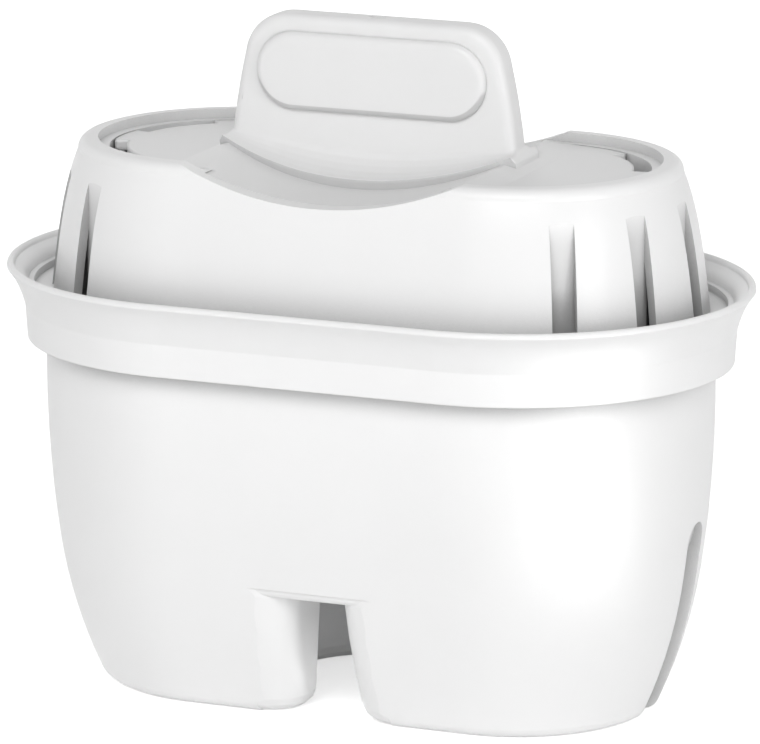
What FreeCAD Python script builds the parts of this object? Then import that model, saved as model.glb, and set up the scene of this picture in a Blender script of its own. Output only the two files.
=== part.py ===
import FreeCAD, Part
import math
import os

# Replaceable filter cartridge of a water pitcher. Millimetres, +Z up.
# Origin: centre of the underside. X runs along the long oval, Y across it.
# A tapered oval tub with a flared collar, a tapered cap with inlet flutes and a
# saddle, a grip insert in the cap, two screens and the granular bed between them.

# Heights of the tub and of what stands on its deck
Z_DECK = 56.0
COLLAR_DROP = 6.9
CREASE_DROP = 2.3
LIP_UP = 3.8
CAP_HEIGHT = 21.1
TRAY_DROP = 1.3
GRIP_HEIGHT = 18.1

# Tub outer outline at the deck, and its bowed side: plumb down to a height, then
# a wide arc, then a closer one to the foot
TUB_HALF_LENGTH = 48.1
TUB_HALF_WIDTH = 27.3
SIDE_PLUMB_TO = 44.0
SIDE_R = 168.0
FOOT_BOW_FROM = 20.0
FOOT_BOW_R = 68.6
FOOT_FILLET = 2.5
WALL = 1.5
ROOM_LEVELS = 6
ROOM_LEVEL_PACKING = 1.5

# Collar: distances from its end centres, walls and inner ledge
COLLAR_CENTRE_IN = 0.2
COLLAR_STAND = 2.8
CREASE_OUT = 0.3
LIP_OUT = 2.5
FLARE_FROM_OUT = 0.45
FLARE_FROM_UP = 1.5
FLARE_MID_OUT = 1.2
FLARE_MID_UP = 3.4
LIP_ROUND = 0.7
LIP_WALL = 1.15
LIP_STEPS = 7
COLLAR_WALL = 1.4
DECK_THICK = 1.4
DECK_LIP_IN = 2.4
LEDGE_UP = 1.0
LEDGE_IN = 0.8
LEDGE_R_OUT = 0.85
LEDGE_COVE = 0.9

# Underside recess with its outlet, and the notch that runs through it
NOTCH_HEIGHT = 18.2
NOTCH_HALF_LOW = 4.4
NOTCH_HALF_HIGH = 3.6
NOTCH_MOUTH_R = 5.5
NOTCH_MOUTH_OUT = 0.15
NOTCH_LEVELS = 3
RECESS_R = 13.0
RECESS_DRAFT = 0.3
RELIEF_ROUND = 2.2
RELIEF_STEPS = 3
BROW_ROUND = 1.2
OUTLET_SLOTS = 8
OUTLET_SLOT_W = 2.2
OUTLET_SLOT_IN = 3.2
OUTLET_SLOT_OUT = 9.2
SCREEN_EDGE = 2.1
SCREEN_THICK = 0.5

# Groove down each tub end
GROOVE_HALF = 2.8
GROOVE_HEIGHT = 28.2
GROOVE_DEPTH_HIGH = 0.9
GROOVE_LEAN = 9.0

# Cap side: what a share t of the height has drawn in is part straight, part late bow
GUTTER = 4.25
CAP_CENTRE_OUT = 0.8
CAP_DRAW_IN = 4.1
CAP_STRAIGHT = 0.6
CAP_BOW = 3.5
CAP_SIDE_POINTS = 5
CAP_WALL = 1.4
RIM_ROUND = 1.6
RIM_ROUND_IN = 1.4
RIM_LEAN = 0.3

# Rim land, tray pocket and the lip that carries the grip insert
LAND = 2.5
POCKET_STEP = 1.6
PLATE_CLEAR = 0.35
PLATE_THICK = 1.5
LIP_THICK = 1.3
LIP_IN = 1.65

# Saddle: a round channel along Y through rim, tray and insert
SCOOP_R = 50.0
SCOOP_DEPTH = 4.4

# Vent arcs beside both ends of the tray
VENT_IN = 15.2
VENT_FROM = 12.0
VENT_TO = 56.0

# Inlet flutes, five at each end: a channel with a vertical floor, and the floor
# runs on downwards as a tongue that hangs clear of the tapered wall
FLUTE_ANGLES = [-56.0, -28.0, 0.0, 28.0, 56.0]
FLUTE_W = 3.45
FLUTE_HEIGHT = 18.1
FLUTE_FLOOR_IN = 2.85
TONGUE_THICK = 1.2
TONGUE_LAP = 0.5
TONGUE_ABOVE_DECK = 0.4

# Grip paddle: half widths, and how far below its top edge they lie
PADDLE_T = 5.0
PADDLE_ROUND = 1.3
PADDLE_SINK = 1.0
PADDLE_FOOT_X = 21.4
PADDLE_WAIST_X = 20.3
PADDLE_WAIST_DROP = 11.0
PADDLE_SHOULDER_X = 19.2
PADDLE_SHOULDER_DROP = 5.6
PADDLE_TOP_X = 12.8

# Raised pill on both broad faces of the paddle
PILL_HALF = 16.3
PILL_HEIGHT = 9.6
PILL_DROP = 3.0
PILL_STEP = 0.35
PILL_EDGE = 0.6
PILL_UP = 1.0
PILL_ROUND = 0.5

# Moulded slot in the top edge of the paddle
TOP_SLOT_L = 2.4
TOP_SLOT_W = 0.8
TOP_SLOT_D = 4.0

# Wings of the insert's saddle, let into the cap as far as the tray floor reaches
WING_X = 17.2
WING_Y = 19.9
WING_CLEAR = 0.15

# Flared skirt at the paddle's foot, whose edge leans out over the saddle
SKIRT_X = 22.0
SKIRT_Y = 8.9
SKIRT_END_Y = 4.7
SKIRT_BOW_R = 60.0
SKIRT_LEAN = 0.6
SKIRT_EDGE = 1.35
SKIRT_SECTIONS = 7
FLARE_UP = 5.0
FLARE_STEPS = 6
FLARE_ROOT = 0.3
SHOULDER_X = 20.6
SHOULDER_UP = 3.4
SHOULDER_TIP_UP = 1.3

# Ridge of ground that the skirt's ends stand on
RIDGE_X = 20.7
RIDGE_EDGE_X = 17.6
RIDGE_UP = 1.15
RIDGE_EDGE_UP = 0.05
RIDGE_FOOT_X = 23.6
RIDGE_ROOT = 1.2
RIDGE_NECK_Y = 7.0

# Inlet screen in its seat under the cap, and the granular bed
INLET_THICK = 0.5
INLET_UNDER_CAP = 0.3
INLET_CLEAR = 0.1
BED_HEAD = 9.0
BED_GAP = 0.15

# Derived levels
Z_SEAT = Z_DECK - COLLAR_DROP
Z_CREASE = Z_DECK - CREASE_DROP
Z_LIP = Z_DECK + LIP_UP
Z_RIM = Z_DECK + CAP_HEIGHT
Z_PLATE = Z_RIM - TRAY_DROP
Z_TOP = Z_RIM + GRIP_HEIGHT
SCOOP_LOW = Z_RIM - SCOOP_DEPTH
SCOOP_AXIS = SCOOP_LOW + SCOOP_R

# Derived end centres and distances from them
C_TUB = TUB_HALF_LENGTH - TUB_HALF_WIDTH
C_COLLAR = C_TUB - COLLAR_CENTRE_IN
C_CAP = C_COLLAR + CAP_CENTRE_OUT
COLLAR_SEAT_R = TUB_HALF_WIDTH + COLLAR_STAND
COLLAR_CREASE_R = COLLAR_SEAT_R + CREASE_OUT
COLLAR_LIP_R = COLLAR_CREASE_R + LIP_OUT
CAP_FOOT_R = COLLAR_SEAT_R - GUTTER
CAP_RIM_R = CAP_FOOT_R - CAP_DRAW_IN
TRAY_R = CAP_RIM_R - LAND
POCKET_R = TRAY_R - POCKET_STEP
PLATE_R = POCKET_R - PLATE_CLEAR
VENT_OUT = POCKET_R

# Larger than the whole cartridge, for cutting tools
BIG = 2.5 * TUB_HALF_LENGTH


def v(x, y, z):
    return FreeCAD.Vector(x, y, z)


def line(p, q):
    return Part.makeLine(p, q)


def arc(p, mid, q):
    return Part.Arc(p, mid, q).toShape()


def section_line(p, q):
    return line(v(p[0], 0, p[1]), v(q[0], 0, q[1]))


def section_spline(points):
    curve = Part.BSplineCurve()
    curve.interpolate([v(r, 0, z) for r, z in points])
    return curve.toShape()


def section_lines(points):
    return [section_line(p, q) for p, q in zip(points, points[1:])]


def polygon(points):
    return Part.makePolygon(points + [points[0]])


def prism(points, sweep):
    return Part.Face(polygon(points)).extrude(sweep)


def face_of(edges):
    return Part.Face(Part.Wire(Part.__sortEdges__(edges)))


def mirror_x(shape):
    return shape.mirror(v(0, 0, 0), v(1, 0, 0))


def mirror_y(shape):
    return shape.mirror(v(0, 0, 0), v(0, 1, 0))


def mirrored(point):
    return v(point.x, -point.y, point.z)


def fuse_all(shapes):
    return shapes[0].fuse(shapes[1:]).removeSplitter()


def largest(shape):
    return sorted(shape.Solids, key=lambda s: s.Volume)[-1]


def stadium_wire(c, r, z):
    front = line(v(-c, -r, z), v(c, -r, z))
    right = arc(v(c, -r, z), v(c + r, 0, z), v(c, r, z))
    back = line(v(c, r, z), v(-c, r, z))
    left = arc(v(-c, r, z), v(-c - r, 0, z), v(-c, -r, z))
    return Part.Wire([front, right, back, left])


def stadium(c, r, z0, z1):
    return Part.Face(stadium_wire(c, r, z0)).extrude(v(0, 0, z1 - z0))


# A section in (distance from the end centre, height), run round a long oval:
# turned round both end centres and drawn straight along both sides
def oval_band(section, c):
    right = section.copy()
    right.translate(v(c, 0, 0))
    right.rotate(v(c, 0, 0), v(0, 0, 1), -90)
    right = right.revolve(v(c, 0, 0), v(0, 0, 1), 180)
    front = section.copy()
    front.rotate(v(0, 0, 0), v(0, 0, 1), -90)
    front.translate(v(-c, 0, 0))
    front = front.extrude(v(2 * c, 0, 0))
    return fuse_all([right, mirror_x(right), front, mirror_y(front)])


# Distance of the tub side from its end centre at one height
def side_r(z):
    if z >= SIDE_PLUMB_TO:
        return TUB_HALF_WIDTH
    bow = SIDE_R
    r0 = TUB_HALF_WIDTH - SIDE_R
    z0 = SIDE_PLUMB_TO
    if z < FOOT_BOW_FROM:
        turn = math.asin((SIDE_PLUMB_TO - FOOT_BOW_FROM) / SIDE_R)
        r0 += (SIDE_R - FOOT_BOW_R) * math.cos(turn)
        z0 -= (SIDE_R - FOOT_BOW_R) * math.sin(turn)
        bow = FOOT_BOW_R
    return r0 + math.sqrt(bow ** 2 - (z - z0) ** 2)


def side_arc(z0, z1):
    low, mid, high = [v(side_r(z), 0, z) for z in (z0, (z0 + z1) / 2, z1)]
    return arc(low, mid, high)


def tub_section():
    plumb = [(TUB_HALF_WIDTH, SIDE_PLUMB_TO), (TUB_HALF_WIDTH, Z_DECK)]
    inside = [(0, Z_DECK), (0, 0), (side_r(0.0), 0)]
    edges = [side_arc(0.0, FOOT_BOW_FROM), side_arc(FOOT_BOW_FROM, SIDE_PLUMB_TO)]
    return face_of(edges + section_lines(plumb + inside))


# Plan of the notch at one height: straight walls and wide mouths on both sides,
# which are round outside and plain slants in the room
def notch_wire(z, grow, round_mouth):
    level = min(max(z, 0.0), NOTCH_HEIGHT)
    side = side_r(level)
    hw = NOTCH_HALF_LOW + (NOTCH_HALF_HIGH - NOTCH_HALF_LOW) * level / NOTCH_HEIGHT + grow
    r = NOTCH_MOUTH_R - grow
    start = side + NOTCH_MOUTH_OUT - NOTCH_MOUTH_R
    out = side + TUB_HALF_WIDTH
    turn = r * (1 - math.sqrt(0.5))
    edges = []
    for hand in (-1, 1):
        near = v(hand * hw, -start, z)
        mid = v(hand * (hw + turn), turn - start - r, z)
        far = v(hand * (hw + r), -start - r, z)
        end = v(hand * (hw + r), -out, z)
        mouth = arc(near, mid, far) if round_mouth else line(near, far)
        edges += [mouth, mirror_y(mouth), line(far, end), line(mirrored(far), mirrored(end))]
        edges.append(line(near, mirrored(near)))
    for y in (-out, out):
        edges.append(line(v(-hw - r, y, z), v(hw + r, y, z)))
    return Part.Wire(Part.__sortEdges__(edges))


# Rounded lower edge of the reliefs: height and how much wider they are there
def round_steps():
    steps = []
    for k in range(RELIEF_STEPS + 1):
        t = math.pi / 2 * k / RELIEF_STEPS
        steps.append((RELIEF_ROUND * (1 - math.cos(t)), RELIEF_ROUND * (1 - math.sin(t))))
    return steps


def notch_body(grow):
    rows = [(-1.0, grow if grow else RELIEF_ROUND)]
    if not grow:
        rows += round_steps()
        for k in range(1, NOTCH_LEVELS):
            rows.append((RELIEF_ROUND + (NOTCH_HEIGHT - RELIEF_ROUND) * k / NOTCH_LEVELS, 0.0))
    rows.append((NOTCH_HEIGHT + grow, grow))
    return Part.makeLoft([notch_wire(z, wide, not grow) for z, wide in rows], True, True)


# What rounds off both front edges of the notch ceiling
def notch_brow():
    r = BROW_ROUND
    face = side_r(NOTCH_HEIGHT)
    plan = Part.Face(notch_wire(NOTCH_HEIGHT, 0.0, True))
    brow = plan.extrude(v(0, 0, r))
    inner = Part.makeBox(BIG, 2 * (face - r), BIG, v(-BIG / 2, r - face, 0))
    rods = []
    for s in (-1, 1):
        rods.append(Part.makeCylinder(r, BIG, v(-BIG / 2, s * (face - r), NOTCH_HEIGHT + r), v(1, 0, 0)))
    return brow.cut([inner] + rods)


def recess_body(grow):
    low = RECESS_R + grow
    high = RECESS_R - RECESS_DRAFT + grow
    top = NOTCH_HEIGHT + grow
    foot = [] if grow else [(low + wide, z) for z, wide in round_steps()]
    wide = foot[0][0] if foot else low
    points = [(0, -1), (wide, -1)] + foot + [(high, top), (0, top), (0, -1)]
    return face_of(section_lines(points)).revolve(v(0, 0, 0), v(0, 0, 1), 360)


# Both end grooves: round top, flat floor leaning in towards the foot
def groove_bodies(grow):
    half = GROOVE_HALF + grow
    top = GROOVE_HEIGHT + grow
    floor_high = C_TUB + side_r(GROOVE_HEIGHT) - GROOVE_DEPTH_HIGH - grow
    slope = GROOVE_LEAN / GROOVE_HEIGHT
    over = 6.0
    x_low = floor_high - GROOVE_LEAN - slope
    x_high = floor_high + slope * over
    out = 1.3 * TUB_HALF_LENGTH
    side = [v(x_low, -half, -1), v(out, -half, -1), v(out, -half, GROOVE_HEIGHT + over)]
    side.append(v(x_high, -half, GROOVE_HEIGHT + over))
    slab = prism(side, v(0, 2 * half, 0))
    start = 0.5 * TUB_HALF_LENGTH
    shaft = Part.makeBox(out, 2 * half, top - half + 1, v(start, -half, -1))
    dome = Part.makeCylinder(half, out, v(start, 0, top - half), v(1, 0, 0))
    one = slab.common(shaft.fuse(dome))
    return one.fuse(mirror_x(one))


def low_edges(shape, z):
    return [e for e in shape.Edges if e.BoundBox.ZMax < z + 0.01]


# Room inside the tub, held off the outer faces by inset and off the base by floor
def tub_room(inset, floor):
    side = []
    for k in range(ROOM_LEVELS):
        z = floor + (SIDE_PLUMB_TO - floor) * (k / (ROOM_LEVELS - 1.0)) ** ROOM_LEVEL_PACKING
        side.append((side_r(z) - inset, z))
    ring = [(0, floor)] + side + [(TUB_HALF_WIDTH - inset, Z_DECK), (0, Z_DECK), (0, floor)]
    room = oval_band(face_of(section_lines(ring)), C_TUB)
    room = room.cut([notch_body(inset), recess_body(inset), groove_bodies(inset)])
    return largest(room)


# Collar section: lower band, crease, flared round lip, ledge, gutter and deck
def collar_section():
    t = COLLAR_WALL
    lip = COLLAR_LIP_R
    crease = COLLAR_CREASE_R
    deck_in = CAP_FOOT_R - DECK_LIP_IN
    under = Z_DECK - DECK_THICK
    ledge_r = crease + LEDGE_R_OUT - t
    ledge_in = ledge_r - LEDGE_IN
    ledge_z = Z_DECK + LEDGE_UP
    outer = [(crease, Z_CREASE), (crease + FLARE_FROM_OUT, Z_CREASE + FLARE_FROM_UP)]
    outer += [(crease + FLARE_MID_OUT, Z_CREASE + FLARE_MID_UP), (lip, Z_LIP - LIP_ROUND)]
    inner = [(lip - LIP_WALL, Z_LIP - LIP_ROUND), (crease + FLARE_MID_OUT - t, ledge_z + LEDGE_COVE)]
    inner.append((ledge_r, ledge_z))
    top = []
    for k in range(LIP_STEPS + 1):
        turn = math.pi * k / LIP_STEPS
        r = lip - LIP_WALL / 2 * (1 - math.cos(turn))
        top.append((r, Z_LIP - LIP_ROUND * (1 - math.sin(turn))))
    inside = [(ledge_r, ledge_z), (ledge_in, ledge_z), (ledge_in, Z_DECK), (deck_in, Z_DECK)]
    inside += [(deck_in, under), (crease - t, under), (COLLAR_SEAT_R - t, Z_SEAT)]
    inside += [(COLLAR_SEAT_R, Z_SEAT), outer[0]]
    edges = [section_spline(outer), section_spline(inner)]
    return face_of(edges + section_lines(top) + section_lines(inside))


# Radial outlet slots with round ends through the recess ceiling
def outlet_slots():
    z0 = NOTCH_HEIGHT - 1
    height = WALL + 2
    r = OUTLET_SLOT_W / 2
    reach = OUTLET_SLOT_OUT - OUTLET_SLOT_IN
    bar = Part.makeBox(reach, OUTLET_SLOT_W, height, v(OUTLET_SLOT_IN, -r, z0))
    heel = Part.makeCylinder(r, height, v(OUTLET_SLOT_IN, 0, z0))
    toe = Part.makeCylinder(r, height, v(OUTLET_SLOT_OUT, 0, z0))
    slot = fuse_all([bar, heel, toe])
    slots = []
    for i in range(OUTLET_SLOTS):
        one = slot.copy()
        one.rotate(v(0, 0, 0), v(0, 0, 1), 360.0 * i / OUTLET_SLOTS)
        slots.append(one)
    return slots


def inlet_seat_r():
    return CAP_FOOT_R - CAP_WALL + INLET_UNDER_CAP


def build_tub():
    body = oval_band(tub_section(), C_TUB)
    body = body.makeFillet(FOOT_FILLET, low_edges(body, 0.0))
    body = body.cut(notch_body(0.0).fuse(recess_body(0.0)))
    body = body.cut([notch_brow(), groove_bodies(0.0)])
    body = body.cut(tub_room(WALL, WALL))
    body = fuse_all([body, oval_band(collar_section(), C_COLLAR)])
    seat = stadium(C_CAP, inlet_seat_r() + INLET_CLEAR, Z_DECK - INLET_THICK, Z_DECK + 1)
    body = body.cut([seat] + outlet_slots())
    return largest(body.removeSplitter())


# Cap outside by distance from the end centre and height, up to its rim round
def cap_side(count):
    points = []
    for k in range(count):
        t = k / (count - 1.0)
        drawn = CAP_STRAIGHT * t + (1 - CAP_STRAIGHT) * t ** CAP_BOW
        points.append((CAP_FOOT_R - (CAP_DRAW_IN - RIM_LEAN) * drawn, Z_DECK + (CAP_HEIGHT - RIM_ROUND) * t))
    return points


def cap_section():
    side = cap_side(CAP_SIDE_POINTS)
    top = side[-1]
    rim = (top[0] - RIM_ROUND_IN, Z_RIM)
    k = 1 - math.sqrt(0.5)
    shoulder = v(top[0] - k * RIM_ROUND_IN, 0, Z_RIM - k * RIM_ROUND)
    edges = [
        section_spline(side),
        arc(v(top[0], 0, top[1]), shoulder, v(rim[0], 0, rim[1])),
    ]
    return face_of(edges + section_lines([rim, (0, Z_RIM), (0, Z_DECK), side[0]]))


def cap_room_section():
    side = [(r - CAP_WALL, z) for r, z in cap_side(CAP_SIDE_POINTS)]
    foot = (side[0][0], Z_DECK - 1)
    points = [foot] + side + [(side[-1][0], Z_RIM), (0, Z_RIM), (0, foot[1]), foot]
    return face_of(section_lines(points))


# All that lies above a level or inside the saddle channel, lowered by drop
def above(level, drop):
    pipe = Part.makeCylinder(SCOOP_R, BIG, v(0, -BIG / 2, SCOOP_AXIS - drop), v(0, 1, 0))
    slab = Part.makeBox(BIG, BIG, BIG, v(-BIG / 2, -BIG / 2, level - drop))
    return fuse_all([slab, pipe])


# Channel cut through the wall down to the vertical floor
def flute_cut(angle):
    floor = CAP_FOOT_R - FLUTE_FLOOR_IN
    reach = 2 * FLUTE_FLOOR_IN
    cut = Part.makeBox(reach, FLUTE_W, FLUTE_HEIGHT + 1, v(floor, -FLUTE_W / 2, Z_DECK - 1))
    return turned(cut, angle)


# The floor itself, which hangs down behind the wall as a tongue
def flute_tongue(angle):
    width = FLUTE_W + 2 * TONGUE_LAP
    start = CAP_FOOT_R - FLUTE_FLOOR_IN - TONGUE_THICK
    low = Z_DECK + TONGUE_ABOVE_DECK
    tongue = Part.makeBox(TONGUE_THICK, width, Z_DECK + FLUTE_HEIGHT - low, v(start, -width / 2, low))
    return turned(tongue, angle)


def turned(shape, angle):
    shape.rotate(v(0, 0, 0), v(0, 0, 1), angle)
    shape.translate(v(C_CAP, 0, 0))
    return shape


def at_both_ends(shapes):
    return shapes + [mirror_x(s) for s in shapes]


# Ring sectors round the cap end centres, one on each hand of each end
def vents():
    z0 = Z_PLATE - 10
    height = 15.0
    ring = Part.makeCylinder(VENT_OUT, height, v(0, 0, z0))
    ring = ring.cut(Part.makeCylinder(VENT_IN, height, v(0, 0, z0)))
    out = []
    for hand in (-1, 1):
        wedge = [v(0, 0, z0)]
        for k in range(5):
            a = math.radians(VENT_FROM + (VENT_TO - VENT_FROM) * k / 4.0)
            wedge.append(v(2 * VENT_OUT * math.cos(a), 2 * VENT_OUT * math.sin(a) * hand, z0))
        out.append(turned(ring.common(prism(wedge, v(0, 0, height))), 0.0))
    return at_both_ends(out)


# Block in the middle of the saddle that the wings of the insert fill
def wing_block(grow):
    x = WING_X + grow
    y = WING_Y + grow
    return Part.makeBox(2 * x, 2 * y, Z_TOP - Z_DECK, v(-x, -y, Z_DECK))


def build_cap():
    drop = PLATE_THICK + LIP_THICK
    room = oval_band(cap_room_section(), C_CAP)
    room = room.cut(above(Z_PLATE, drop))
    room = room.cut(at_both_ends([flute_tongue(a) for a in FLUTE_ANGLES]))
    cap = oval_band(cap_section(), C_CAP)
    cap = cap.cut(above(Z_RIM + 1, 0.0))
    cap = cap.cut(room)
    deep = Z_DECK + 1
    tray = stadium(C_CAP, TRAY_R, deep, Z_TOP).common(above(Z_PLATE, 0.0))
    pocket = stadium(C_CAP, POCKET_R, deep, Z_TOP).fuse(wing_block(WING_CLEAR))
    pocket = pocket.common(above(Z_PLATE, PLATE_THICK))
    opening = stadium(C_CAP, POCKET_R - LIP_IN, deep, Z_TOP)
    cap = cap.cut([tray, pocket, opening])
    cap = cap.cut(vents())
    cap = cap.cut(at_both_ends([flute_cut(a) for a in FLUTE_ANGLES]))
    return largest(cap)


# Paddle outline in the XZ plane: bowed sides, long round corners, level top
def paddle_face(y):
    run = PADDLE_SHOULDER_X - PADDLE_TOP_X
    r = (run ** 2 + PADDLE_SHOULDER_DROP ** 2) / (2 * PADDLE_SHOULDER_DROP)
    k = math.sqrt(0.5)
    foot_z = Z_PLATE - PADDLE_SINK
    edges = [line(v(-PADDLE_FOOT_X, y, foot_z), v(PADDLE_FOOT_X, y, foot_z))]
    edges.append(line(v(-PADDLE_TOP_X, y, Z_TOP), v(PADDLE_TOP_X, y, Z_TOP)))
    for s in (-1, 1):
        foot = v(s * PADDLE_FOOT_X, y, foot_z)
        waist = v(s * PADDLE_WAIST_X, y, Z_TOP - PADDLE_WAIST_DROP)
        shoulder = v(s * PADDLE_SHOULDER_X, y, Z_TOP - PADDLE_SHOULDER_DROP)
        corner = v(s * (PADDLE_TOP_X + k * r), y, Z_TOP - r + k * r)
        edges.append(arc(foot, waist, shoulder))
        edges.append(arc(shoulder, corner, v(s * PADDLE_TOP_X, y, Z_TOP)))
    return face_of(edges)


# Pill on a broad face, standing out of it by up and wider by grow
def pill(side, up, grow):
    half = PADDLE_T / 2
    y0 = side * (half - 0.5)
    low = Z_TOP - PILL_DROP - PILL_HEIGHT - grow
    high = Z_TOP - PILL_DROP + grow
    mid = (low + high) / 2
    tip = PILL_HALF + grow
    x = tip - (high - low) / 2
    edges = [
        line(v(-x, y0, low), v(x, y0, low)),
        arc(v(x, y0, low), v(tip, y0, mid), v(x, y0, high)),
        line(v(x, y0, high), v(-x, y0, high)),
        arc(v(-x, y0, high), v(-tip, y0, mid), v(-x, y0, low)),
    ]
    return face_of(edges).extrude(v(0, side * (up + 0.5), 0))


def outer_edges(shape, y):
    return [e for e in shape.Edges if abs(abs(e.BoundBox.YMin) - y) < 0.01 and e.BoundBox.YLength < 0.01]


# One section across the skirt: root in the plate, leaning edge, flare that ends plumb
def skirt_section(x):
    root = PADDLE_T / 2 - FLARE_ROOT
    share = (x / SKIRT_X) ** 2
    edge = SKIRT_Y - (SKIRT_Y - SKIRT_END_Y) * share
    rise = (FLARE_UP - SKIRT_EDGE) * math.sqrt(1 - share)
    ground = SCOOP_LOW + SKIRT_BOW_R - math.sqrt(SKIRT_BOW_R ** 2 - x ** 2)
    right = [(edge - SKIRT_LEAN, -PLATE_THICK / 2)]
    for k in range(FLARE_STEPS + 1):
        turn = math.pi / 2 * k / FLARE_STEPS
        right.append((edge - (edge - root) * math.sin(turn), SKIRT_EDGE + rise * (1 - math.cos(turn))))
    ring = right + [(-y, up) for y, up in reversed(right)]
    return polygon([v(x, y, ground + up) for y, up in ring])


def build_skirt():
    wires = []
    for k in range(SKIRT_SECTIONS):
        wires.append(skirt_section(SKIRT_X * (2.0 * k / (SKIRT_SECTIONS - 1) - 1)))
    skirt = Part.makeLoft(wires, True)
    tip = Z_PLATE + SHOULDER_TIP_UP
    side = [(SHOULDER_X, Z_PLATE + SHOULDER_UP), (SKIRT_X, tip), (BIG, tip), (BIG, Z_PLATE + SHOULDER_UP)]
    return skirt.cut(at_both_ends([prism([v(x, -SKIRT_Y, z) for x, z in side], v(0, 2 * SKIRT_Y, 0))]))


# Ground between channel and tray floor: a ridge at the neck, level at the tray edge
def saddle_ground():
    low = Z_PLATE - RIDGE_ROOT
    lofts = []
    for s in (-1, 1):
        wires = []
        rows = [(0.0, RIDGE_X, RIDGE_UP), (s * RIDGE_NECK_Y, RIDGE_X, RIDGE_UP)]
        rows.append((s * TRAY_R, RIDGE_EDGE_X, RIDGE_EDGE_UP))
        for y, ridge, up in rows:
            side = [(RIDGE_FOOT_X, low), (RIDGE_FOOT_X, Z_PLATE), (ridge, Z_PLATE + up)]
            side += [(-x, z) for x, z in reversed(side)]
            wires.append(polygon([v(x, y, z) for x, z in side]))
        lofts.append(Part.makeLoft(wires, True, True))
    return lofts[0].fuse(lofts[1])


# All that lies below the insert: flat at the ends, round below the saddle
def below_plate():
    slab = Part.makeBox(BIG, BIG, BIG, v(-BIG / 2, -BIG / 2, Z_PLATE - PLATE_THICK - BIG))
    pipe = Part.makeCylinder(SCOOP_R, BIG, v(0, -BIG / 2, SCOOP_AXIS - PLATE_THICK), v(0, 1, 0))
    return slab.cut(pipe)


def top_slot():
    r = TOP_SLOT_W / 2
    x = TOP_SLOT_L / 2 - r
    z0 = Z_TOP - TOP_SLOT_D
    ends = [Part.makeCylinder(r, TOP_SLOT_D, v(s * x, 0, z0)) for s in (-1, 1)]
    return fuse_all([Part.makeBox(2 * x, TOP_SLOT_W, TOP_SLOT_D, v(-x, -r, z0))] + ends)


def build_grip():
    half = PADDLE_T / 2
    outline = stadium(C_CAP, PLATE_R, Z_DECK, Z_TOP).fuse(wing_block(0.0))
    slab = Part.makeBox(BIG, BIG, Z_PLATE - Z_DECK, v(-BIG / 2, -BIG / 2, Z_DECK))
    insert = slab.fuse(saddle_ground()).common(outline).cut(above(Z_TOP, 0.0))
    insert = insert.cut([below_plate()] + vents())
    paddle = paddle_face(-half).extrude(v(0, PADDLE_T, 0))
    rounds = [e for e in outer_edges(paddle, half) if e.BoundBox.ZMax > Z_PLATE]
    paddle = paddle.makeFillet(PADDLE_ROUND, rounds)
    parts = [insert, build_skirt(), paddle]
    for side in (-1, 1):
        raised = pill(side, PILL_UP, 0.0)
        raised = raised.makeFillet(PILL_ROUND, outer_edges(raised, half + PILL_UP))
        parts += [raised, pill(side, PILL_STEP, PILL_EDGE)]
    return largest(fuse_all(parts).cut(top_slot()))


# Woven inlet screen, clamped in its seat by the foot of the cap
def build_inlet_screen():
    return stadium(C_CAP, inlet_seat_r(), Z_DECK - INLET_THICK, Z_DECK)


# Outlet screen over the slots, on the recess ceiling
def build_outlet_screen():
    r = RECESS_R - RECESS_DRAFT - SCREEN_EDGE
    return Part.makeCylinder(r, SCREEN_THICK, v(0, 0, NOTCH_HEIGHT + WALL))


# Granular bed: stands on the tub floor and on the outlet screen
def build_bed():
    bed = tub_room(WALL + BED_GAP, WALL)
    top = Z_DECK - BED_HEAD
    bed = bed.cut(Part.makeBox(BIG, BIG, BIG, v(-BIG / 2, -BIG / 2, top)))
    r = RECESS_R - RECESS_DRAFT - SCREEN_EDGE + BED_GAP
    dent = Part.makeCylinder(r, SCREEN_THICK, v(0, 0, NOTCH_HEIGHT + WALL))
    ceiling = Part.makeCylinder(r, WALL, v(0, 0, NOTCH_HEIGHT))
    return largest(bed.cut([dent, ceiling]))


def main():
    os.makedirs("parts", exist_ok=True)
    nodes = {
        "tub": build_tub(),
        "cap": build_cap(),
        "grip": build_grip(),
        "inlet_screen": build_inlet_screen(),
        "outlet_screen": build_outlet_screen(),
        "granular_bed": build_bed(),
    }
    for name, shape in nodes.items():
        print(name, shape.ShapeType, shape.isValid(), round(shape.Volume, 1))
        shape.exportStep("parts/" + name + ".step")


main()
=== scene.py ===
import math
import bmesh
import bpy
from mathutils import Matrix, Vector


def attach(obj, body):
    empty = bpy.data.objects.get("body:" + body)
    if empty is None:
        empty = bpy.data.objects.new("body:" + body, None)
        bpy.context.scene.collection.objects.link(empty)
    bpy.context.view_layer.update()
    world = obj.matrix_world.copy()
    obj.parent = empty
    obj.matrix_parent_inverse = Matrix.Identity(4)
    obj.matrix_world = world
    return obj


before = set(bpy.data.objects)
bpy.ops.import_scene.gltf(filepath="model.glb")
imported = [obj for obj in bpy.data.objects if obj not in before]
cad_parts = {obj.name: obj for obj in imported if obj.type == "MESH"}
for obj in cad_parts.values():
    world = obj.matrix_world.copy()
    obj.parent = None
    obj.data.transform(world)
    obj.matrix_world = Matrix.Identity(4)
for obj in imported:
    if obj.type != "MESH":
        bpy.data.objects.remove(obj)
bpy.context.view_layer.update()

MM = 0.001
WHITE = (1, 1, 1, 1)

# Most of a noise lies between these values
NOISE_LOW = 0.3
NOISE_HIGH = 0.7


# Helpers for node trees
def new_tree(name):
    material = bpy.data.materials.new(name)
    material.use_nodes = True
    material.node_tree.nodes.clear()
    return material, material.node_tree


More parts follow.
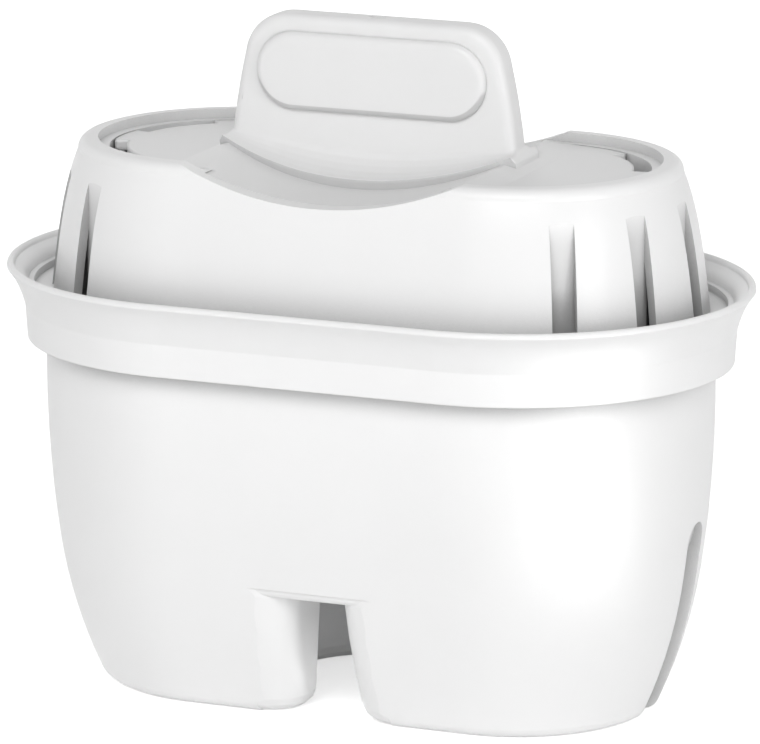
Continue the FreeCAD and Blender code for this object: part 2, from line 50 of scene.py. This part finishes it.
def add(tree, kind, inputs=None, **settings):
    """Add a node. Each input gets a constant or, where it is another node's output, a link."""
    node = tree.nodes.new(kind)
    for key, value in settings.items():
        setattr(node, key, value)
    for key, value in (inputs or {}).items():
        if isinstance(value, bpy.types.NodeSocket):
            tree.links.new(value, node.inputs[key])
        else:
            node.inputs[key].default_value = value
    return node


def maths(tree, operation, *values):
    return add(tree, "ShaderNodeMath", dict(enumerate(values)), operation=operation).outputs["Value"]


def grey(level):
    return (level, level, level, 1.0)


def noise(tree, coords, scale, detail):
    inputs = {"Vector": coords, "Scale": scale, "Detail": detail}
    return add(tree, "ShaderNodeTexNoise", inputs).outputs["Fac"]


def spread(tree, fac, low, high):
    """Stretch a noise, so that most of it runs from low to high."""
    inputs = {"Value": fac, "From Min": NOISE_LOW, "From Max": NOISE_HIGH, "To Min": low, "To Max": high}
    return add(tree, "ShaderNodeMapRange", inputs).outputs["Result"]


def ramp(tree, value, start, end):
    """Rise smoothly from 0 at start to 1 at end."""
    inputs = {"Value": value, "From Min": start, "From Max": end}
    return add(tree, "ShaderNodeMapRange", inputs, interpolation_type="SMOOTHSTEP").outputs["Result"]


def blend_colours(tree, fac, a, b):
    return add(tree, "ShaderNodeMix", {"Factor": fac, "A": a, "B": b}, data_type="RGBA").outputs["Result"]


def darkened(tree, colour, fac, shade):
    inputs = {"Factor": fac, "A": colour, "B": grey(shade)}
    node = add(tree, "ShaderNodeMix", inputs, data_type="RGBA", blend_type="MULTIPLY")
    return node.outputs["Result"]


def bump(tree, height, strength, distance, normal=None):
    inputs = {"Height": height, "Strength": strength, "Distance": distance}
    if normal is not None:
        inputs["Normal"] = normal
    return add(tree, "ShaderNodeBump", inputs).outputs["Normal"]


def surface(tree, inputs):
    shader = add(tree, "ShaderNodeBsdfPrincipled", inputs)
    add(tree, "ShaderNodeOutputMaterial", {"Surface": shader.outputs["BSDF"]})


# Moulded plastic: cloudy tint, painted shade in corners and on faces that look down, fine grain, slow waves
# in the gloss and matte tops
PLASTIC_IOR = 1.49
CLOUD_DIM = 0.99
CLOUD_PALE = 1.005
WAVE_DEPTH = 1.0 * MM
GRAIN_DEPTH = 0.02 * MM
GLOSS_SPREAD = 0.015
MILK_DEPTH = 1.6 * MM
CORNER_SAMPLES = 6
EDGE_SAMPLES = 8

# Scale and detail of each noise
CLOUDS = (55.0, 3.0)
WAVES = (38.0, 1.0)
GRAIN = (2600.0, 2.0)

# Start and end of each mask, by the upward part of the normal
LOOKS_UP = (0.75, 0.97)
# LOOKS_DOWN marks where faces that look down get painted shade
LOOKS_DOWN = (-0.1, -0.26)
STANDS_UPRIGHT = (0.09, 0.03)

# Start and end of a corner's painted shade, by how open the spot is
OPENNESS = (0.9, 0.1)

# The tub's notch ends between these distances from the middle, and between these heights
NOTCH_SIDES = (13.0 * MM, 16.0 * MM)
NOTCH_TOP = (20.0 * MM, 26.0 * MM)

# Painted shade on the cap's upright faces, such as its flute floors, darker towards the bottom: where it
# starts and is full, going down, and its level
FLUTE_HIGH = 74.5 * MM
FLUTE_LOW = 69.0 * MM
FLUTE_SHADE = 0.82


def away_from_notch(tree, place):
    side = maths(tree, "ABSOLUTE", place.outputs["X"])
    beside = ramp(tree, side, *NOTCH_SIDES)
    above = ramp(tree, place.outputs["Z"], *NOTCH_TOP)
    return maths(tree, "MAXIMUM", beside, above)


def painted_corner_shade(tree, place, reach, notched):
    """Find closed-in spots, for painted shade. A notched piece counts only its own walls, and gets no
    painted shade in its notch, where light comes through.
    """
    settings = {"samples": CORNER_SAMPLES, "only_local": notched}
    node = add(tree, "ShaderNodeAmbientOcclusion", {"Distance": reach}, **settings)
    closed = ramp(tree, node.outputs["AO"], *OPENNESS)
    if notched:
        closed = maths(tree, "MULTIPLY", closed, away_from_notch(tree, place))
    return closed


def painted_flute_shade_mask(tree, up, place):
    upright = ramp(tree, up, *STANDS_UPRIGHT)
    return maths(tree, "MULTIPLY", upright, ramp(tree, place.outputs["Z"], FLUTE_HIGH, FLUTE_LOW))


def moulded(
    name, level, rough, matte, nook_reach, painted_nook_shade,
    wave=0.0, grain=0.0, ease=0.0, milky=0.0, painted_down_shade=None, notched=False, fluted=False,
):
    """Make a moulded plastic.

    Rough is how rough the walls are, and matte the tops. Nook gives how far a corner's painted shade
    reaches, and its level. Ease is the radius by which edges look rounded. The painted down shade
    darkens faces that look down, to its level.
    """
    material, tree = new_tree(name)
    spots = add(tree, "ShaderNodeTexCoord")
    coords = spots.outputs["Object"]
    place = add(tree, "ShaderNodeSeparateXYZ", {"Vector": coords})
    up = add(tree, "ShaderNodeSeparateXYZ", {"Vector": spots.outputs["Normal"]}).outputs["Z"]

    cloud = spread(tree, noise(tree, coords, *CLOUDS), 0.0, 1.0)
    colour = blend_colours(tree, cloud, grey(level * CLOUD_DIM), grey(level * CLOUD_PALE))
    # Painted shade in closed-in corners
    colour = darkened(tree, colour, painted_corner_shade(tree, place, nook_reach, notched), painted_nook_shade)
    # Painted shade on faces that look down
    if painted_down_shade:
        colour = darkened(tree, colour, ramp(tree, up, *LOOKS_DOWN), painted_down_shade)
    # Painted shade on the cap's upright faces, darker towards the bottom of its flutes
    if fluted:
        colour = darkened(tree, colour, painted_flute_shade_mask(tree, up, place), FLUTE_SHADE)

    fine = noise(tree, coords, *GRAIN)
    walls = spread(tree, fine, rough - GLOSS_SPREAD, rough + GLOSS_SPREAD)
    gloss = add(tree, "ShaderNodeMix", {"Factor": ramp(tree, up, *LOOKS_UP), "A": walls, "B": matte})

    normal = None
    if ease:
        normal = add(tree, "ShaderNodeBevel", {"Radius": ease}, samples=EDGE_SAMPLES).outputs["Normal"]
    normal = bump(tree, noise(tree, coords, *WAVES), wave, WAVE_DEPTH, normal)
    normal = bump(tree, fine, grain, GRAIN_DEPTH, normal)

    surface(tree, {
        "Base Color": colour,
        "Roughness": gloss.outputs["Result"],
        "Normal": normal,
        "IOR": PLASTIC_IOR,
        "Subsurface Weight": milky,
        "Subsurface Radius": (1.0, 1.0, 1.0),
        "Subsurface Scale": MILK_DEPTH,
    })
    return material


# Plain woven screen: crossing threads with dark meshes between them
THREAD_SCALE = 620.0
THREAD_WANDER = 0.6
THREAD_GREY = 0.16
THREAD_DEPTH = 0.1 * MM
THREAD_BUMP = 0.6
MESH_GREY = 0.03
SCREEN_ROUGH = 0.6


def woven(name):
    material, tree = new_tree(name)
    coords = add(tree, "ShaderNodeTexCoord").outputs["Object"]
    threads = []
    for axis in ("X", "Y"):
        inputs = {"Vector": coords, "Scale": THREAD_SCALE, "Distortion": THREAD_WANDER}
        band = add(tree, "ShaderNodeTexWave", inputs, wave_type="BANDS", bands_direction=axis)
        threads.append(band.outputs["Fac"])
    top = maths(tree, "MAXIMUM", *threads)
    surface(tree, {
        "Base Color": blend_colours(tree, top, grey(MESH_GREY), grey(THREAD_GREY)),
        "Roughness": SCREEN_ROUGH,
        "Normal": bump(tree, top, THREAD_BUMP, THREAD_DEPTH),
    })
    return material


# Packed granules: dark grains with paler beads among them
BED_SCALE = 1300.0
BED_DEPTH = 0.4 * MM
BED_BUMP = 0.8
BED_ROUGH = 0.55
DARK_SHARE = 0.72
DARK_GREY = 0.02
BEAD_COLOUR = (0.50, 0.40, 0.24, 1.0)


def granules(name):
    material, tree = new_tree(name)
    coords = add(tree, "ShaderNodeTexCoord").outputs["Object"]
    cells = add(tree, "ShaderNodeTexVoronoi", {"Vector": coords, "Scale": BED_SCALE})
    pick = add(tree, "ShaderNodeSeparateColor", {"Color": cells.outputs["Color"]})
    beads = maths(tree, "GREATER_THAN", pick.outputs["Red"], DARK_SHARE)
    height = maths(tree, "SUBTRACT", 1.0, cells.outputs["Distance"])
    surface(tree, {
        "Base Color": blend_colours(tree, beads, grey(DARK_GREY), BEAD_COLOUR),
        "Roughness": BED_ROUGH,
        "Normal": bump(tree, height, BED_BUMP, BED_DEPTH),
    })
    return material


# Materials on the solids
MATERIALS = {
    "tub": moulded(
        "tub_white", level=0.88, rough=0.38, matte=0.55, nook_reach=6.0 * MM, painted_nook_shade=0.32,
        wave=0.03, grain=0.02, ease=0.25 * MM, milky=0.1, notched=True,
    ),
    "cap": moulded(
        "cap_white", level=0.875, rough=0.32, matte=0.65, nook_reach=9.0 * MM, painted_nook_shade=0.42,
        milky=0.05, fluted=True,
    ),
    "grip": moulded(
        "grip_milky", level=0.80, rough=0.34, matte=0.5, nook_reach=2.0 * MM, painted_nook_shade=0.95,
        wave=0.02, grain=0.01, ease=0.7 * MM, milky=0.35, painted_down_shade=0.74,
    ),
    "inlet_screen": woven("screen_mesh"),
    "outlet_screen": woven("outlet_mesh"),
    "granular_bed": granules("granules"),
}

for name, material in MATERIALS.items():
    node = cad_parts[name]
    node.data.materials.clear()
    node.data.materials.append(material)


# Full-round pill on each broad face of the paddle, over the solid's stepped one
PADDLE_FACE = 2.5 * MM  # from the paddle's middle plane
PILL_MID_Z = 87.4 * MM
PILL_STRAIGHT = 11.5 * MM  # from the middle to the centre of a round end
PILL_END_RADIUS = 4.8 * MM  # of the solid's own pill
PILL_OUT = 0.72 * MM  # past the solid's own pill
PILL_UP = 1.03 * MM  # out of the paddle's face
PILL_ROUND = 1.0 * MM  # radius of the edge
PILL_SUNK = 0.2 * MM  # into the paddle
PILL_TURN_STEPS = 24
PILL_ROUND_STEPS = 8


def pill_ring(side, end_r, up):
    """Go once round the pill at one height over the paddle's face."""
    ring = []
    for end in (1, -1):
        for step in range(PILL_TURN_STEPS + 1):
            turn = end * math.pi / 2 - math.pi * step / PILL_TURN_STEPS
            x = end * PILL_STRAIGHT + end_r * math.cos(turn)
            ring.append((x, side * (PADDLE_FACE + up), PILL_MID_Z + end_r * math.sin(turn)))
    return ring


def pill_rings(side):
    rings = [pill_ring(side, PILL_END_RADIUS + PILL_OUT, -PILL_SUNK)]
    for step in range(PILL_ROUND_STEPS + 1):
        turn = math.pi / 2 * step / PILL_ROUND_STEPS
        end_r = PILL_END_RADIUS + PILL_OUT - PILL_ROUND * (1 - math.cos(turn))
        rings.append(pill_ring(side, end_r, PILL_UP - PILL_ROUND * (1 - math.sin(turn))))
    return rings


def build_pill(name, side):
    rings = pill_rings(side)
    points = [point for ring in rings for point in ring]
    count = len(rings[0])
    faces = []
    for row in range(len(rings) - 1):
        low = row * count
        high = low + count
        for i in range(count):
            j = (i + 1) % count
            faces.append((low + i, low + j, high + j, high + i))
    faces.append(tuple(range(count)))
    faces.append(tuple(range(len(points) - count, len(points))))
    mesh = bpy.data.meshes.new(name)
    mesh.from_pydata(points, [], faces)
    shell = bmesh.new()
    shell.from_mesh(mesh)
    bmesh.ops.recalc_face_normals(shell, faces=shell.faces)
    for face in shell.faces:
        face.smooth = len(face.verts) == 4
    shell.to_mesh(mesh)
    shell.free()
    mesh.materials.append(MATERIALS["grip"])
    pill = bpy.data.objects.new(name, mesh)
    bpy.context.scene.collection.objects.link(pill)
    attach(pill, "root")


build_pill("pill_front", -1)
build_pill("pill_back", 1)


# Floor and world
FLOOR_HALF = 6.0
FLOOR_DIM = 0.93
FLOOR_PALE = 0.96
FLOOR_CLOUDS = (3.0, 3.0)
FLOOR_SEEN = 0.58
FLOOR_IN_GLOSS = 0.3
SKY_HORIZON = 0.8
SKY_ZENITH = 0.0


def seen_directly(tree, by_camera, by_gloss):
    """Give one strength to what the camera sees, and another to what gloss and clear parts show."""
    path = add(tree, "ShaderNodeLightPath")
    either = maths(tree, "MAXIMUM", path.outputs["Is Glossy Ray"], path.outputs["Is Transmission Ray"])
    camera_part = maths(tree, "MULTIPLY", path.outputs["Is Camera Ray"], by_camera)
    gloss_part = maths(tree, "MULTIPLY", either, by_gloss)
    return maths(tree, "MAXIMUM", camera_part, gloss_part)


def floor_material():
    material, tree = new_tree("studio_floor")
    coords = add(tree, "ShaderNodeTexCoord").outputs["Object"]
    tint = blend_colours(tree, noise(tree, coords, *FLOOR_CLOUDS), grey(FLOOR_DIM), grey(FLOOR_PALE))
    matte = add(tree, "ShaderNodeBsdfDiffuse", {"Color": tint})
    strength = seen_directly(tree, FLOOR_SEEN, FLOOR_IN_GLOSS)
    glow = add(tree, "ShaderNodeEmission", {"Color": WHITE, "Strength": strength})
    both = add(tree, "ShaderNodeAddShader", {0: matte.outputs["BSDF"], 1: glow.outputs["Emission"]})
    add(tree, "ShaderNodeOutputMaterial", {"Surface": both.outputs["Shader"]})
    return material


def build_floor():
    half = FLOOR_HALF
    mesh = bpy.data.meshes.new("studio_floor")
    corners = [(-half, -half, 0), (half, -half, 0), (half, half, 0), (-half, half, 0)]
    mesh.from_pydata(corners, [], [(0, 1, 2, 3)])
    mesh.materials.append(floor_material())
    floor = bpy.data.objects.new("studio_floor", mesh)
    bpy.context.scene.collection.objects.link(floor)


def build_world():
    """Light the sky most round the horizon, as in a tent of white cloth lit from its sides."""
    world = bpy.data.worlds.new("studio")
    bpy.context.scene.world = world
    world.use_nodes = True
    tree = world.node_tree
    tree.nodes.clear()
    way = add(tree, "ShaderNodeTexCoord").outputs["Generated"]
    up = add(tree, "ShaderNodeSeparateXYZ", {"Vector": way}).outputs["Z"]
    steep = maths(tree, "MULTIPLY", up, up)
    level = add(tree, "ShaderNodeMapRange", {"Value": steep, "To Min": SKY_HORIZON, "To Max": SKY_ZENITH})
    light = add(tree, "ShaderNodeBackground", {"Color": WHITE, "Strength": level.outputs["Result"]})
    seen = add(tree, "ShaderNodeBackground", {"Color": WHITE, "Strength": 1.0})
    mix = add(tree, "ShaderNodeMixShader", {
        "Fac": seen_directly(tree, 1.0, 1.0),
        1: light.outputs["Background"],
        2: seen.outputs["Background"],
    })
    add(tree, "ShaderNodeOutputWorld", {"Surface": mix.outputs["Shader"]})


# Softboxes: name, azimuth, elevation, distance, width, height, power, and whether gloss shows them
SOFTBOXES = [
    ("front", 12, 40, 1.2, 0.9, 0.5, 5.6, True),
    ("strip_right", 66, 12, 1.0, 0.2, 0.4, 1.5, True),
    ("back", 205, 22, 1.2, 0.9, 0.5, 3.8, False),
]
SOFTBOX_AIM = (0, 0, 0.04)

# Cards on the floor, only for the gloss: name, azimuth, distance, width, length away from the object, power
CARDS = [
    ("card_right", 60, 0.30, 0.10, 0.42, 0.85),
    ("card_front", 8, 0.32, 0.40, 0.40, 0.6),
]
CARD_Z = 0.001

# A small card on the floor inside the notch, for the light that the pale floor throws up at its walls
NOTCH_CARD_PLACE = (3.0 * MM, -12.0 * MM, 0.5 * MM)
NOTCH_CARD_WIDTH = 3.0 * MM
NOTCH_CARD_LENGTH = 8.0 * MM
NOTCH_CARD_POWER = 0.00032


def around(azimuth, elevation, distance):
    """Place a point by its angles round the object. Azimuth 0 is the front, and 90 the right."""
    az = math.radians(azimuth)
    el = math.radians(elevation)
    x = distance * math.sin(az) * math.cos(el)
    y = -distance * math.cos(az) * math.cos(el)
    return x, y, distance * math.sin(el)


def towards(place, aim):
    return (Vector(aim) - Vector(place)).to_track_quat("-Z", "Y").to_euler()


def area_lamp(name, place, turn, width, height, power):
    lamp = bpy.data.lights.new(name, "AREA")
    lamp.shape = "RECTANGLE"
    lamp.size = width
    lamp.size_y = height
    lamp.energy = power
    obj = bpy.data.objects.new(name, lamp)
    bpy.context.scene.collection.objects.link(obj)
    obj.location = place
    obj.rotation_euler = turn
    return obj


def build_lamps():
    for name, azimuth, elevation, distance, width, height, power, in_gloss in SOFTBOXES:
        place = around(azimuth, elevation, distance)
        box = area_lamp(name, place, towards(place, SOFTBOX_AIM), width, height, power)
        box.visible_glossy = in_gloss
    for name, azimuth, distance, width, length, power in CARDS:
        x, y = around(azimuth, 0, distance)[:2]
        turn = (math.pi, 0, math.radians(azimuth))
        card = area_lamp(name, (x, y, CARD_Z), turn, width, length, power)
        card.visible_diffuse = False
        card.visible_camera = False
    place = NOTCH_CARD_PLACE
    turn = towards(place, (place[0], place[1], 1.0))
    card = area_lamp("notch_card", place, turn, NOTCH_CARD_WIDTH, NOTCH_CARD_LENGTH, NOTCH_CARD_POWER)
    card.visible_camera = False


# Camera at the photograph's angle
CAMERA_AZIMUTH = 22.387
CAMERA_ELEVATION = 13.150
CAMERA_DISTANCE = 0.8811
CAMERA_AIM_Z = 0.04884
CAMERA_LENS = 300.18
CAMERA_SENSOR = 36.0
SHIFT_X = 0.0021
SHIFT_Y = -0.0347
CLIP_NEAR = 0.05
CLIP_FAR = 50.0


def build_camera():
    az = math.radians(CAMERA_AZIMUTH)
    back = Vector(around(CAMERA_AZIMUTH, CAMERA_ELEVATION, 1.0))
    right = Vector((math.cos(az), math.sin(az), 0))
    up = back.cross(right)
    place = Vector((0, 0, CAMERA_AIM_Z)) + back * CAMERA_DISTANCE
    data = bpy.data.cameras.new("camera")
    data.sensor_width = CAMERA_SENSOR
    data.lens = CAMERA_LENS
    data.shift_x = SHIFT_X
    data.shift_y = SHIFT_Y
    data.clip_start = CLIP_NEAR
    data.clip_end = CLIP_FAR
    obj = bpy.data.objects.new("camera", data)
    bpy.context.scene.collection.objects.link(obj)
    obj.matrix_world = Matrix([[right[i], up[i], back[i], place[i]] for i in range(3)] + [[0, 0, 0, 1]])
    bpy.context.scene.camera = obj


build_floor()
build_world()
build_lamps()
build_camera()

bpy.context.scene.view_settings.view_transform = "Standard"
